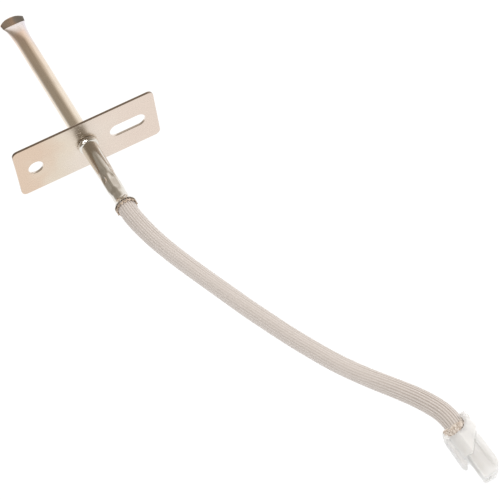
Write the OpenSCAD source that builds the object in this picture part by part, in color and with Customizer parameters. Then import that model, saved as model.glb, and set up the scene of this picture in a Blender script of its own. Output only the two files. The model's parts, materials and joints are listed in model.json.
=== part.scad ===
// Flanged temperature probe: a closed steel tube with a pinched tip, staked through a small
// mounting plate, with a knitted glass-fibre lead sleeve that ends in a two-way connector.
// +Y runs along the tube towards the tip, +X along the plate towards its slot, +Z is up.
// The origin is on the tube's axis, in the plate's front face. Millimetres.

/* [Mounting plate] */
// Length of the plate
plate_w = 57.2; // [50:0.2:70]
// Height of the plate
plate_h = 24.5; // [20:0.5:30]
// Thickness of the plate
plate_t = 1; // [0.8:0.1:1.5]
// Radius of the plate's corners
plate_corner = 2.2; // [1:0.1:4]
// Distance of the round screw hole from the tube's axis
hole_x = 21; // [16:0.5:23]
// Diameter of the round screw hole
hole_d = 6; // [4:0.1:7]
// Distance of the slot's middle from the tube's axis
slot_x = 16.6; // [15:0.2:18]
// Length of the slot from end to end
slot_len = 14.6; // [10:0.2:16]
// Width of the slot
slot_w = 5.8; // [4:0.1:7]

/* [Tube] */
// Outer diameter of the tube
tube_d = 6.35; // [6:0.05:7]
// Wall of the tube
tube_wall = 0.5; // [0.4:0.05:0.55]
// Length of the round part in front of the plate
tube_front = 54.5; // [52:0.5:90]
// Length of the tube behind the plate's front face
tube_rear = 33.8; // [33.8:0.2:50]
// Diameter of the bead that stops the plate from behind
bead_d = 8.2; // [7.4:0.1:9]
// Diameter of the flared rear mouth
mouth_d = 8.6; // [8.2:0.1:10]

/* [Pinched tip] */
// Length over which the round tube turns flat
wedge_len = 11.4; // [8:0.2:16]
// Width of the tab where it starts
tab_w0 = 8.9; // [8:0.1:9.4]
// Width of the tab at its corners
tab_w1 = 9.6; // [9:0.1:11]
// Length of the tab's straight sides
tab_len = 2.3; // [1:0.1:4]
// Height of the tab's rounded end
tab_bulge = 2; // [1:0.1:3]

/* [Inside the tube] */
// Diameter of the sensing element
element_d = 3.8; // [3:0.1:4.2]
// Length of the sensing element
element_len = 12; // [8:0.5:14]
// Distance of each lead from the tube's axis
lead_offset = 1.1; // [1.1:0.05:1.15]
// Length of each of the two ceramic insulators
insulator_len = 19; // [12:0.5:19]

/* [Lead sleeve] */
// Outer diameter of the knitted sleeve
sleeve_d = 6.7; // [6.2:0.1:6.8]
// Wall of the knitted sleeve
sleeve_wall = 0.75; // [0.5:0.05:0.8]
// Outer diameter of a lead wire's insulation
wire_d = 1.7; // [1.5:0.1:1.8]
// Diameter of a lead wire's conductor
core_d = 0.9; // [0.6:0.1:1]

/* [Connector] */
// Width of the housing's hood
hood_w = 9.9; // [9.4:0.1:12]
// Height of the housing's hood
hood_h = 8.7; // [8.4:0.1:10]
// Length of the hood and trough along their short right side
hood_len = 6.7; // [6.5:0.1:9.1]
// Width of the nose, which lies towards the right of the hood
nose_w = 7.6; // [7.6:0.1:8.2]
// Height of the nose
nose_h = 5.2; // [4.6:0.1:6]
// Length of the whole connector
conn_len = 24.5; // [22.5:0.2:30.5]
// Distance of each terminal from the connector's middle
terminal_offset = 1.7; // [1.7:0.05:1.9]
// Length of the latch arm
latch_len = 11.6; // [9:0.2:14]

/* [Hidden] */
$fn = 64;
tiny = 0.01;
gap = 0.05;

tube_r = tube_d / 2;
bore_r = tube_r - tube_wall;
bead_r = bead_d / 2;
bead_len = 1.8;
floor_z = -plate_h / 2;

// Rear end of the tube: two crimp grooves with a six-sided land between them, then the flare
groove_a_y = -18.8;
groove_b_y = -28.4;
groove_len = 1.6;
groove_r = 2.7;
groove_ramp = 1.5;
crimp_bore_r = 2.25;
land_flat = 5.9;
land_turn = 20;
flare_start = -tube_rear + 3.2;
mouth_r = mouth_d / 2;
mouth_wall = 0.4;

// The tube is swaged flush into a countersink in the plate's front face
sink_depth = 0.6;
sink_r = tube_r + 0.65;

// Places along the tube of the pieces inside it
fill_end = tube_front - 0.8;
element_y = fill_end - 3.7 - element_len;
insulator_gap = 0.2;
front_insulator_y = element_y - 1.4 - insulator_len;
rear_insulator_y = front_insulator_y - insulator_gap - insulator_len;
ferrule_len = 7;
ferrule_y = rear_insulator_y - 1.6 - ferrule_len;
joint_y = ferrule_y + 3;
splice_len = 11;
splice_y = rear_insulator_y - 0.4 - splice_len;
wire_start_y = splice_y - 0.2;
element_lead_d = 0.5;
ferrule_d = 1.8;
splice_d = 2.1;
sleeve_r = sleeve_d / 2;
sleeve_bore_r = sleeve_r - sleeve_wall;
grip_r = crimp_bore_r - gap;
hem_len = 1.9;
hem_inside = 0.4;

// Where the connector lies: middle of its rear edge on the surface, and its heading
conn_x = 58.18;
conn_y = -169.5;
conn_heading = -87.4;
cheek = 1.35;
left_cheek_h = 4;
trough_floor = 1;
left_start = 0.8;
hood_start = 3.1;
mouth_cut_x = 1.8;
mouth_cut_y = -1.35;
mouth_cut_r = 3.95;
channel_x = 1.6;
channel_y = -0.75;
channel_r = 4.3;
lip_w = 2.3;
lip_t = 0.8;
axis_h = 4.4;
hood_left_len = 13.7;
hood_top_left = 1.6;
hood_chamfer = 3.2;
nose_start = 6.2;
nose_taper = 3;
nose_left = 3.3;
nose_nick = 0.6;
nose_slant = 2.8;
cavity_r = 1.3;
wire_hole_r = 0.95;
groove_w = 0.8;
groove_depth = 0.5;
groove_start = 8.6;
latch_root = 5.4;
latch_t = 1.1;
latch_h = 4;
latch_splay = 0.3;
latch_gap = 0.15;
hook_len = 2;
hook_reach = 0.45;
root_len = 1.8;
tail_end = 3;
sleeve_end = 0.8;
wire_spread_end = 2.6;
wire_end = 9.1;
cavity_start = wire_end - 0.8;

// Barrel contacts
barrel_r = 1.05;
barrel_start = wire_end + 0.2;
core_reach = 2.6;
collar_y = barrel_start + 4;
collar_len = 0.8;
socket_r = 0.8;

// Route of the lead sleeve's middle, from the tube's mouth to the connector
rest_z = floor_z + sleeve_r;
plug_z = floor_z + axis_h;
ROUTE = [
    [0, -33.1, 0], [0, -38, 0], [0.5, -42, -0.1], [1.5, -46.6, -0.7], [3, -51.5, -1.9],
    [5, -56.3, -3.5], [7.4, -61.3, -5.4], [10, -66.5, -7.3], [12.6, -72.1, -8.5],
    [15.1, -78.3, rest_z], [17.5, -84.9, rest_z], [19.9, -91.3, rest_z], [22.4, -97.5, rest_z],
    [24.9, -103.6, rest_z], [27.5, -109.7, rest_z], [30.2, -115.7, rest_z],
    [33, -121.5, rest_z], [35.9, -127.2, rest_z], [39.1, -132.7, rest_z],
    [42.5, -138, rest_z], [46, -143.1, rest_z], [49.5, -148.2, rest_z],
    [52.8, -153.4, -8.7], [55.5, -158.8, -8.3], [57.2, -163.4, -7.9],
    [58.1, -168, plug_z], [58.22, -170.3, plug_z]
];
// The wires start inside the tube and run on into the connector
WIRE_IN = [[0, wire_start_y, 0], [0, -24, 0]];
WIRE_OUT = [in_connector(wire_spread_end), in_connector(wire_end)];
WIRE_ROUTE = concat(WIRE_IN, ROUTE, WIRE_OUT);

function in_connector(l) = [
    conn_x + l * cos(conn_heading), conn_y + l * sin(conn_heading), plug_z
];
function unit(v) = v / norm(v);
function tangent(path, i) =
    unit(path[min(i + 1, len(path) - 1)] - path[max(i - 1, 0)]);
function sideways(path, i) = unit(cross(tangent(path, i), [0, 0, 1]));
function upwards(path, i) = cross(sideways(path, i), tangent(path, i));
// The two wires spread as they enter the connector
function wire_spread(i) =
    i < len(WIRE_ROUTE) - 4 ? lead_offset
    : i == len(WIRE_ROUTE) - 4 ? (lead_offset * 2 + terminal_offset) / 3
    : i == len(WIRE_ROUTE) - 3 ? (lead_offset + terminal_offset * 2) / 3
    : terminal_offset;
function ring(path, i, r, sides, shift) = [
    for (k = [0:sides - 1])
        path[i] + sideways(path, i) * (shift + r * cos(360 * k / sides))
        + upwards(path, i) * r * sin(360 * k / sides)
];

// Solid bar swept along a path; shifts holds one sideways shift for each point
module swept_bar(path, r, sides, shifts) {
    last = len(path) - 1;
    points = [for (i = [0:last]) each ring(path, i, r, sides, shifts[i])];
    walls = [
        for (i = [0:last - 1]) for (k = [0:sides - 1])
            [i * sides + k, i * sides + (k + 1) % sides,
             (i + 1) * sides + (k + 1) % sides, (i + 1) * sides + k]
    ];
    start_cap = [for (k = [sides - 1:-1:0]) k];
    end_cap = [for (k = [0:sides - 1]) last * sides + k];
    polyhedron(points, concat(walls, [start_cap], [end_cap]));
}

// Hollow tube swept along a path
module swept_tube(path, r_out, r_in, sides, shifts) {
    last = len(path) - 1;
    inner = (last + 1) * sides;
    points = concat(
        [for (i = [0:last]) each ring(path, i, r_out, sides, shifts[i])],
        [for (i = [0:last]) each ring(path, i, r_in, sides, shifts[i])]
    );
    outside = [
        for (i = [0:last - 1]) for (k = [0:sides - 1])
            [i * sides + k, i * sides + (k + 1) % sides,
             (i + 1) * sides + (k + 1) % sides, (i + 1) * sides + k]
    ];
    inside = [
        for (i = [0:last - 1]) for (k = [0:sides - 1])
            [inner + (i + 1) * sides + k, inner + (i + 1) * sides + (k + 1) % sides,
             inner + i * sides + (k + 1) % sides, inner + i * sides + k]
    ];
    start_rim = [
        for (k = [0:sides - 1])
            [inner + k, inner + (k + 1) % sides, (k + 1) % sides, k]
    ];
    end_rim = [
        for (k = [0:sides - 1])
            [last * sides + k, last * sides + (k + 1) % sides,
             inner + last * sides + (k + 1) % sides, inner + last * sides + k]
    ];
    polyhedron(points, concat(outside, inside, start_rim, end_rim));
}

// Turns a child built along +Z so that it runs along +Y, starting at y
module along_y(y, x = 0) {
    translate([x, y, 0]) rotate([-90, 0, 0]) children();
}

module rod(y, length, r, x = 0) {
    along_y(y, x) cylinder(h = length, r = r);
}

module pipe(y, length, r_out, r_in, x = 0) {
    difference() {
        rod(y, length, r_out, x);
        rod(y - 1, length + 2, r_in, x);
    }
}

// Places a child in the connector: +X forward, +Y to its right, z = 0 on the surface
module at_connector() {
    translate([conn_x, conn_y, floor_z]) rotate([0, 0, conn_heading]) children();
}

// Outside of the round part of the tube, as a turned profile: radius, then place along Y
module tube_outside() {
    groove = groove_len / 2;
    along_y(0) rotate_extrude() polygon([
        [0, -tube_rear],
        [mouth_r, -tube_rear],
        [mouth_r - 0.1, -tube_rear + 0.5],
        [mouth_r - 0.7, -tube_rear + 1.3],
        [groove_r + 0.35, -tube_rear + 2.2],
        [groove_r, flare_start],
        [groove_r, groove_b_y - groove],
        [groove_r, groove_b_y + groove],
        [tube_r, groove_b_y + groove + groove_ramp],
        [tube_r, groove_a_y - groove - groove_ramp],
        [groove_r, groove_a_y - groove],
        [groove_r, groove_a_y + groove],
        [tube_r, groove_a_y + groove + groove_ramp],
        [tube_r, -plate_t - bead_len],
        [bead_r - 0.3, -plate_t - bead_len + 0.5],
        [bead_r, -plate_t - 0.8],
        [bead_r, -plate_t],
        [tube_r, -plate_t],
        [tube_r, -sink_depth],
        [sink_r - 2 * gap, -gap],
        [tube_r, -gap],
        [tube_r, tube_front],
        [0, tube_front]
    ]);
}

module tube_bore() {
    along_y(0) rotate_extrude() polygon([
        [0, -tube_rear - tiny],
        [mouth_r - mouth_wall, -tube_rear - tiny],
        [mouth_r - mouth_wall - 0.1, -tube_rear + 0.5],
        [mouth_r - mouth_wall - 0.7, -tube_rear + 1.3],
        [crimp_bore_r + 0.3, -tube_rear + 2.2],
        [crimp_bore_r, flare_start],
        [crimp_bore_r, groove_a_y + groove_len / 2],
        [bore_r, groove_a_y + groove_len / 2 + groove_ramp],
        [bore_r, tube_front],
        [0, tube_front]
    ]);
}

// Six flats pressed on the land between the two crimp grooves
module crimp_envelope() {
    land_start = groove_b_y + groove_len / 2;
    land_end = groove_a_y - groove_len / 2;
    rod(-tube_rear - 1, land_start + tube_rear + 1, 2 * mouth_r);
    along_y(land_start) rotate([0, 0, land_turn])
        cylinder(h = land_end - land_start, r = land_flat / 2 / cos(30), $fn = 6);
    rod(land_end, tube_front - land_end + 1, 2 * mouth_r);
}

// The tab's outline seen from above, with a rounded end
module tab_outline() {
    corner_y = tube_front + wedge_len + tab_len;
    end_r = (tab_w1 * tab_w1 / 4 + tab_bulge * tab_bulge) / (2 * tab_bulge);
    half_angle = asin(tab_w1 / 2 / end_r);
    centre_y = corner_y + tab_bulge - end_r;
    steps = 12;
    polygon(concat(
        [[-tab_w0 / 2, tube_front + wedge_len], [tab_w0 / 2, tube_front + wedge_len]],
        [for (k = [0:steps])
            let (a = half_angle - 2 * half_angle * k / steps)
            [end_r * sin(a), centre_y + end_r * cos(a)]]
    ));
}

module tip_wedge(r, flat_w, flat_t, length) {
    hull() {
        along_y(tube_front) cylinder(h = tiny, r = r, $fn = 32);
        translate([-flat_w / 2, tube_front + length - tiny, -flat_t / 2])
            cube([flat_w, tiny, flat_t]);
    }
}

module probe_tube() {
    tab_t = 2 * tube_wall;
    color("silver") difference() {
        union() {
            intersection() {
                tube_outside();
                crimp_envelope();
            }
            tip_wedge(tube_r, tab_w0, tab_t, wedge_len);
            translate([0, 0, -tab_t / 2]) linear_extrude(tab_t) tab_outline();
        }
        tube_bore();
        tip_wedge(bore_r, tab_w0 - 2 * tube_wall, 0.1, wedge_len - 1.5);
    }
}

module rounded_plate() {
    inner_w = plate_w - 2 * plate_corner;
    inner_h = plate_h - 2 * plate_corner;
    square([inner_w, plate_h], center = true);
    square([plate_w, inner_h], center = true);
    for (x = [-1, 1]) for (z = [-1, 1])
        translate([x * inner_w / 2, z * inner_h / 2]) circle(r = plate_corner);
}

module slot_outline() {
    reach = (slot_len - slot_w) / 2;
    for (x = [-reach, reach]) translate([x, 0]) circle(d = slot_w);
    square([2 * reach, slot_w], center = true);
}

module mounting_plate() {
    color("#ddd2c6") difference() {
        along_y(-plate_t) linear_extrude(plate_t) difference() {
            rounded_plate();
            circle(r = tube_r + gap / 2);
            translate([-hole_x, 0]) circle(d = hole_d);
            translate([slot_x, 0]) slot_outline();
        }
        along_y(-sink_depth) cylinder(h = sink_depth + tiny, r1 = tube_r + gap / 2, r2 = sink_r);
    }
}

module rtd_element() {
    neck_len = 1.2;
    color("#f2efe6") {
        rod(element_y + neck_len, element_len - neck_len, element_d / 2);
        rod(element_y, neck_len, element_d / 2 - 0.3);
    }
}

module magnesia_fill() {
    color("#e6e1d6") difference() {
        rod(element_y - 1.2, fill_end - element_y + 1.2, bore_r - gap);
        rod(element_y - 2.2, element_len + 2.2 + gap, element_d / 2 + gap);
    }
}

module insulator(y) {
    color("#efe9dc") difference() {
        rod(y, insulator_len, bore_r - 2 * gap);
        for (x = [-lead_offset, lead_offset]) rod(y - 1, insulator_len + 2, 0.4, x);
    }
}
module front_insulator() { insulator(front_insulator_y); }
module rear_insulator() { insulator(rear_insulator_y); }

module element_lead(x) {
    color("#cfd2d6") rod(joint_y + 0.2, element_y - joint_y - 0.2, element_lead_d / 2, x);
}
module element_lead_a() { element_lead(-lead_offset); }
module element_lead_b() { element_lead(lead_offset); }

// Crimp barrel with a waist where it grips the thin element lead
module splice_ferrule(x) {
    waist_y = ferrule_y + ferrule_len - 2.6;
    color("#c9b27a") difference() {
        rod(ferrule_y, ferrule_len, ferrule_d / 2, x);
        rod(ferrule_y - 1, joint_y - ferrule_y + 1, core_d / 2 + gap, x);
        rod(joint_y - tiny, ferrule_len, element_lead_d / 2 + gap, x);
        pipe(waist_y, 1.2, ferrule_d, ferrule_d / 2 - 0.15, x);
    }
}
module splice_ferrule_a() { splice_ferrule(-lead_offset); }
module splice_ferrule_b() { splice_ferrule(lead_offset); }

module splice_sleeve(x) {
    color("#efe7cf") pipe(splice_y, splice_len, splice_d / 2, ferrule_d / 2 + gap, x);
}
module splice_sleeve_a() { splice_sleeve(-lead_offset); }
module splice_sleeve_b() { splice_sleeve(lead_offset); }

// The sleeve's end, squeezed thin under the crimp grooves
module sleeve_grip() {
    color("#cdbfa5")
        pipe(flare_start, groove_a_y + 2 - flare_start, grip_r, lead_offset + wire_d / 2 + gap);
}

// The sleeve's tan binding, just inside the tube's mouth
module sleeve_hem() {
    color("#c8a888") difference() {
        along_y(-tube_rear - hem_len + hem_inside)
            cylinder(h = hem_len, r1 = sleeve_r + 0.25, r2 = sleeve_r + 0.3);
        rod(-tube_rear - hem_len, hem_len + 2, sleeve_r + gap / 2);
    }
}

module lead_sleeve() {
    color("#d4ccc0")
        swept_tube(ROUTE, sleeve_r, sleeve_bore_r, 12, [for (p = ROUTE) 0]);
}

// The sleeve's loose, frayed end inside the connector's trough
module sleeve_tail() {
    color("#cbb08c") at_connector() translate([sleeve_end + 0.05, 0, axis_h]) rotate([0, 90, 0])
        difference() {
            cylinder(h = tail_end - sleeve_end, r = sleeve_r - 0.05);
            translate([0, 0, -1])
                cylinder(h = tail_end + 2, r = terminal_offset + wire_d / 2 + 0.1);
        }
}

module wire_insulation(side) {
    color("#e9e3d2")
        swept_tube(
            WIRE_ROUTE, wire_d / 2, core_d / 2 + gap, 8,
            [for (i = [0:len(WIRE_ROUTE) - 1]) side * wire_spread(i)]
        );
}
module wire_insulation_a() { wire_insulation(-1); }
module wire_insulation_b() { wire_insulation(1); }

// The core reaches past its insulation at both ends, into a ferrule and a terminal
module wire_core(side) {
    tip_a = [0, joint_y - 0.2, 0];
    tip_b = in_connector(wire_end + core_reach - 0.1);
    path = concat([tip_a], WIRE_ROUTE, [tip_b]);
    shifts = [
        for (i = [0:len(path) - 1])
            side * (i == 0 ? lead_offset : wire_spread(min(i - 1, len(WIRE_ROUTE) - 1)))
    ];
    color("#b9a27c") swept_bar(path, core_d / 2, 8, shifts);
}
module wire_core_a() { wire_core(-1); }
module wire_core_b() { wire_core(1); }

// The hood's outline from above: short on the right, long beside the latch
module hood_outline() {
    polygon([
        [hood_start, -hood_w / 2],
        [hood_left_len, -hood_w / 2],
        [hood_left_len + 1.2, -hood_top_left],
        [hood_len, hood_w / 2],
        [hood_start, hood_w / 2]
    ]);
}

// Cross-section of the hood, seen from behind: its top slopes down on the latch side
module hood_section() {
    polygon([
        [-hood_w / 2, 0],
        [hood_w / 2, 0],
        [hood_w / 2, hood_h - 0.5],
        [hood_w / 2 - 0.5, hood_h],
        [-hood_top_left, hood_h],
        [-hood_w / 2, hood_h - hood_chamfer]
    ]);
}

module hood() {
    intersection() {
        linear_extrude(hood_h) hood_outline();
        rotate([90, 0, 90]) linear_extrude(hood_left_len + 2) hood_section();
    }
}

// Open trough that holds the sleeve's end; its right cheek is as high as the hood
module trough() {
    left_len = hood_start - left_start + tiny;
    translate([left_start, -hood_w / 2, 0]) {
        cube([left_len, hood_w, trough_floor]);
        cube([left_len, cheek, left_cheek_h]);
    }
    translate([0, hood_w / 2 - cheek, 0]) cube([hood_start + tiny, cheek, hood_h]);
    translate([0, hood_w / 2 - lip_w, hood_h - lip_t]) cube([hood_start + tiny, lip_w, lip_t]);
}

// Rounded mouth cut into the rear of the hood, open to the left above the low cheek, and the
// wider channel for the sleeve beneath the lip
module mouth_cut() {
    inner_w = hood_w - 2 * cheek;
    translate([mouth_cut_x, mouth_cut_y, left_cheek_h]) cylinder(h = hood_h, r = mouth_cut_r);
    intersection() {
        translate([channel_x, channel_y, trough_floor])
            cylinder(h = hood_h - lip_t - trough_floor, r = channel_r);
        translate([0, -inner_w / 2, 0]) cube([hood_left_len, inner_w, hood_h]);
    }
}

// The mating end: its right front corner is cut off at a slant
module nose() {
    nose_right = nose_w - nose_left;
    translate([0, 0, axis_h - nose_h / 2]) linear_extrude(nose_h) polygon([
        [nose_start, -nose_left],
        [conn_len - nose_nick, -nose_left],
        [conn_len, nose_nick - nose_left],
        [conn_len, nose_right - nose_slant],
        [conn_len - nose_taper, nose_right],
        [nose_start, nose_right]
    ]);
}

// The block on the housing that the latch arm grows from
module latch_block() {
    into_hood = 0.5;
    translate([latch_root - root_len, -hood_w / 2 - latch_t - latch_gap, axis_h - latch_h / 2])
        cube([root_len - latch_gap, latch_t + latch_gap + into_hood, latch_h]);
}

module connector_housing() {
    color("#f1f1ee") at_connector() difference() {
        union() {
            trough();
            hood();
            nose();
            latch_block();
        }
        mouth_cut();
        for (y = [-terminal_offset, terminal_offset]) translate([0, y, axis_h]) rotate([0, 90, 0]) {
            translate([0, 0, hood_start]) cylinder(h = cavity_start - hood_start + gap, r = wire_hole_r);
            translate([0, 0, cavity_start]) cylinder(h = conn_len, r = cavity_r);
        }
        translate([groove_start, terminal_offset - groove_w / 2, axis_h + nose_h / 2 - groove_depth])
            cube([conn_len, groove_w, 2 * groove_depth]);
    }
}

// Cantilever arm with an inward hook at its free end
module latch_arm() {
    inner = -hood_w / 2 - latch_gap;
    tip = latch_root + latch_len;
    ramp = 0.8;
    color("#f6f6f3") at_connector() translate([0, 0, axis_h - latch_h / 2])
        linear_extrude(latch_h) polygon([
            [latch_root, inner],
            [latch_root, inner - latch_t],
            [tip - hook_len / 2, inner - latch_t - latch_splay],
            [tip, inner - 2 * latch_splay],
            [tip, inner],
            [tip - ramp, inner + hook_reach],
            [tip - hook_len, inner + hook_reach],
            [tip - hook_len, inner]
        ]);
}

// Barrel contact with a crimped tail and a locking collar
module terminal(side) {
    barrel_len = conn_len - nose_taper - barrel_start - 0.5;
    color("#c8b46a") at_connector()
        translate([0, side * terminal_offset, axis_h]) rotate([0, 90, 0]) difference() {
            union() {
                translate([0, 0, barrel_start]) cylinder(h = barrel_len, r = barrel_r);
                translate([0, 0, collar_y]) cylinder(h = collar_len, r = cavity_r - gap);
            }
            translate([0, 0, barrel_start - 1]) cylinder(h = core_reach + 1, r = core_d / 2 + gap);
            translate([0, 0, collar_y]) cylinder(h = conn_len, r = socket_r);
        }
}
module terminal_a() { terminal(-1); }
module terminal_b() { terminal(1); }

probe_tube();
mounting_plate();
rtd_element();
magnesia_fill();
front_insulator();
rear_insulator();
element_lead_a();
element_lead_b();
splice_ferrule_a();
splice_ferrule_b();
splice_sleeve_a();
splice_sleeve_b();
sleeve_grip();
sleeve_hem();
lead_sleeve();
sleeve_tail();
wire_insulation_a();
wire_insulation_b();
wire_core_a();
wire_core_b();
connector_housing();
latch_arm();
terminal_a();
terminal_b();
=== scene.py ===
"""Looks of a flanged temperature probe: a steel tube with a pinched tip, staked through a small
plate, and a knitted glass-fibre sleeve that ends in a two-way nylon connector.
The frame is the CAD model's, in metres. Sizes below are in millimetres unless a name says so.
"""

import json
import math
import random

import bmesh
import bpy
import numpy as np
from mathutils import Matrix, Vector


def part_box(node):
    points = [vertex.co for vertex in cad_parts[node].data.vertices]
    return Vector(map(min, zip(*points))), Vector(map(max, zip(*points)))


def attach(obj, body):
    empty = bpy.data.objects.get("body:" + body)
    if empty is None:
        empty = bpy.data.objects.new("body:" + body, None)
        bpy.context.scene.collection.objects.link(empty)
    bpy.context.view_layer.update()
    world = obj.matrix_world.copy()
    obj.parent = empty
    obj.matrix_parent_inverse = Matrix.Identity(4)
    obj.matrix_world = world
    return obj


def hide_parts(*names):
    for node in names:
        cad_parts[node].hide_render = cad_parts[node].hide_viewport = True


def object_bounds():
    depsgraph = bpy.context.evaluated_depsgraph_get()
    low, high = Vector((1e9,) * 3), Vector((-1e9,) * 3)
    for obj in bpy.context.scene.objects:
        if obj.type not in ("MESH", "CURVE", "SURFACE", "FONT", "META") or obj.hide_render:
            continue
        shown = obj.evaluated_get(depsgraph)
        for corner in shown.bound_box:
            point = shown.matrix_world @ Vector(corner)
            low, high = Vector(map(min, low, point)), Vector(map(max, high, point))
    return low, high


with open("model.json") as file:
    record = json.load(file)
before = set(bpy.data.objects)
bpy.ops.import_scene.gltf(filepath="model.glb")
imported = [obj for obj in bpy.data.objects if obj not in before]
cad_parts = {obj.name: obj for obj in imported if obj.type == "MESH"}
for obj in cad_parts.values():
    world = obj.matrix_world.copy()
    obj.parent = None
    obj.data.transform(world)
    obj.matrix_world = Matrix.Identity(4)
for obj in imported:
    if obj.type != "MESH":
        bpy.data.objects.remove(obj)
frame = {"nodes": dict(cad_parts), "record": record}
CAD_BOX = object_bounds()
MM = 0.001
RNG = random.Random(7)

# ---------------------------------------------------------------- places taken from the frame
FLOOR_Z = CAD_BOX[0].z
PLATE_LOW, PLATE_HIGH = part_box("mounting_plate")
MOUNTS = {mount["name"]: mount for mount in frame["record"]["mounts"]}
CONN_TIP = Vector(MOUNTS["connector_face"]["pos_m"])
CONN_AXIS = Vector(MOUNTS["connector_face"]["axis"]).normalized()
CONN_LEN = 28.4  # from the origin of the connector's own frame, behind the housing, to its tip
CONN_ORIGIN = Vector((CONN_TIP.x, CONN_TIP.y, FLOOR_Z)) - CONN_AXIS * CONN_LEN * MM
CONN_FRAME = Matrix.Translation(CONN_ORIGIN) @ Matrix.Rotation(
    math.atan2(CONN_AXIS.y, CONN_AXIS.x), 4, "Z"
)

# ---------------------------------------------------------------- the sleeve's route, in metres
SLEEVE_D = 0.0067
REST = FLOOR_Z + SLEEVE_D / 2
PLUG = CONN_TIP.z
ROUTE = [
    (0, -0.0331, 0), (0, -0.0380, 0), (0.0005, -0.0420, -0.0001), (0.0015, -0.0466, -0.0007),
    (0.0030, -0.0515, -0.0019), (0.0050, -0.0563, -0.0035), (0.0074, -0.0613, -0.0054),
    (0.0100, -0.0665, -0.0073), (0.0126, -0.0721, -0.0085), (0.0151, -0.0783, REST),
    (0.0175, -0.0849, REST), (0.0199, -0.0913, REST), (0.0224, -0.0975, REST),
    (0.0249, -0.1036, REST), (0.0275, -0.1097, REST), (0.0302, -0.1157, REST),
    (0.0330, -0.1215, REST), (0.0359, -0.1272, REST), (0.0391, -0.1327, REST),
    (0.0425, -0.1380, REST), (0.0460, -0.1431, REST), (0.0495, -0.1482, REST),
    (0.0528, -0.1534, -0.0087), (0.0555, -0.1588, -0.0083), (0.0572, -0.1634, -0.0079),
    (0.0581, -0.1680, PLUG), (0.05822, -0.1703, PLUG),
]


# ================================================================ camera
def make_camera():
    """Long lens from behind and above; the view's middle lies aside of the frame's origin."""
    azimuth, elevation, roll = (math.radians(a) for a in (19.51, 54.36, -9.44))
    distance, aside, above = 0.94183, 0.06036, -0.03982
    forward = Vector((
        math.sin(azimuth) * math.cos(elevation),
        math.cos(azimuth) * math.cos(elevation),
        -math.sin(elevation),
    ))
    level = Vector((math.cos(azimuth), -math.sin(azimuth), 0))
    upright = level.cross(forward)
    right = level * math.cos(roll) + upright * math.sin(roll)
    up = upright * math.cos(roll) - level * math.sin(roll)
    data = bpy.data.cameras.new("camera")
    data.sensor_width = 36
    data.lens = 183.84
    data.clip_start, data.clip_end = 0.05, 20
    camera = bpy.data.objects.new("camera", data)
    turn = Matrix((right, up, -forward)).transposed().to_4x4()
    camera.matrix_world = Matrix.Translation(-forward * distance + right * aside + up * above) @ turn
    bpy.context.scene.collection.objects.link(camera)
    bpy.context.scene.camera = camera


# ================================================================ shader graphs
class Graph:
    """Builds node trees: every call adds one node and returns its first output."""

    def __init__(self, tree):
        self.tree = tree
        tree.nodes.clear()

    def node(self, kind, inputs, **settings):
        made = self.tree.nodes.new(kind)
        for name, value in settings.items():
            setattr(made, name, value)
        for name, value in inputs.items():
            if isinstance(value, bpy.types.NodeSocket):
                self.tree.links.new(value, made.inputs[name])
            else:
                made.inputs[name].default_value = value
        return made

    def place(self, scale=(1, 1, 1)):
        """The point's own place in the object, stretched where the scale is small."""
        where = self.node("ShaderNodeTexCoord", {}).outputs["Object"]
        return self.node("ShaderNodeMapping", {"Vector": where, "Scale": scale}).outputs[0]

    def noise(self, where, scale, detail=3, rough=0.5):
        return self.node(
            "ShaderNodeTexNoise",
            {"Vector": where, "Scale": scale, "Detail": detail, "Roughness": rough},
        ).outputs[0]

    def math(self, operation, a, b=0.0, c=0.0):
        return self.node("ShaderNodeMath", {0: a, 1: b, 2: c}, operation=operation).outputs[0]

    def spread(self, value, low, high, to_low=0.0, to_high=1.0):
        """An S curve from one range to another; high may lie below low."""
        return self.node(
            "ShaderNodeMapRange",
            {"Value": value, "From Min": low, "From Max": high, "To Min": to_low, "To Max": to_high},
            interpolation_type="SMOOTHSTEP",
        ).outputs[0]

    def ramp(self, value, *stops):
        """A colour from stops, each a position and a colour."""
        made = self.node("ShaderNodeValToRGB", {"Fac": value})
        points = made.color_ramp.elements
        while len(points) < len(stops):
            points.new(0.5)
        for point, (position, colour) in zip(points, stops):
            point.position = position
            point.color = (*colour, 1)
        return made.outputs[0]

    def mix(self, factor, a, b):
        made = self.node("ShaderNodeMix", {}, data_type="RGBA")
        for socket, value in (("Factor_Float", factor), ("A_Color", a), ("B_Color", b)):
            target = next(s for s in made.inputs if s.identifier == socket)
            if isinstance(value, bpy.types.NodeSocket):
                self.tree.links.new(value, target)
            elif socket == "Factor_Float":
                target.default_value = value
            else:
                target.default_value = (*value, 1)
        return next(s for s in made.outputs if s.identifier == "Result_Color")

    def attribute(self, name):
        """A number stored with the mesh's points."""
        return self.node("ShaderNodeAttribute", {}, attribute_name=name).outputs["Fac"]

    def bump(self, height, strength, distance):
        return self.node(
            "ShaderNodeBump", {"Height": height, "Strength": strength, "Distance": distance}
        ).outputs[0]

    def surface(self, **inputs):
        shader = self.node(
            "ShaderNodeBsdfPrincipled", {k.replace("_", " "): v for k, v in inputs.items()}
        )
        self.node("ShaderNodeOutputMaterial", {"Surface": shader.outputs[0]})


def new_material(name):
    """An empty node material and the graph that fills it."""
    material = bpy.data.materials.new(name)
    material.use_nodes = True
    return material, Graph(material.node_tree)


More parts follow.
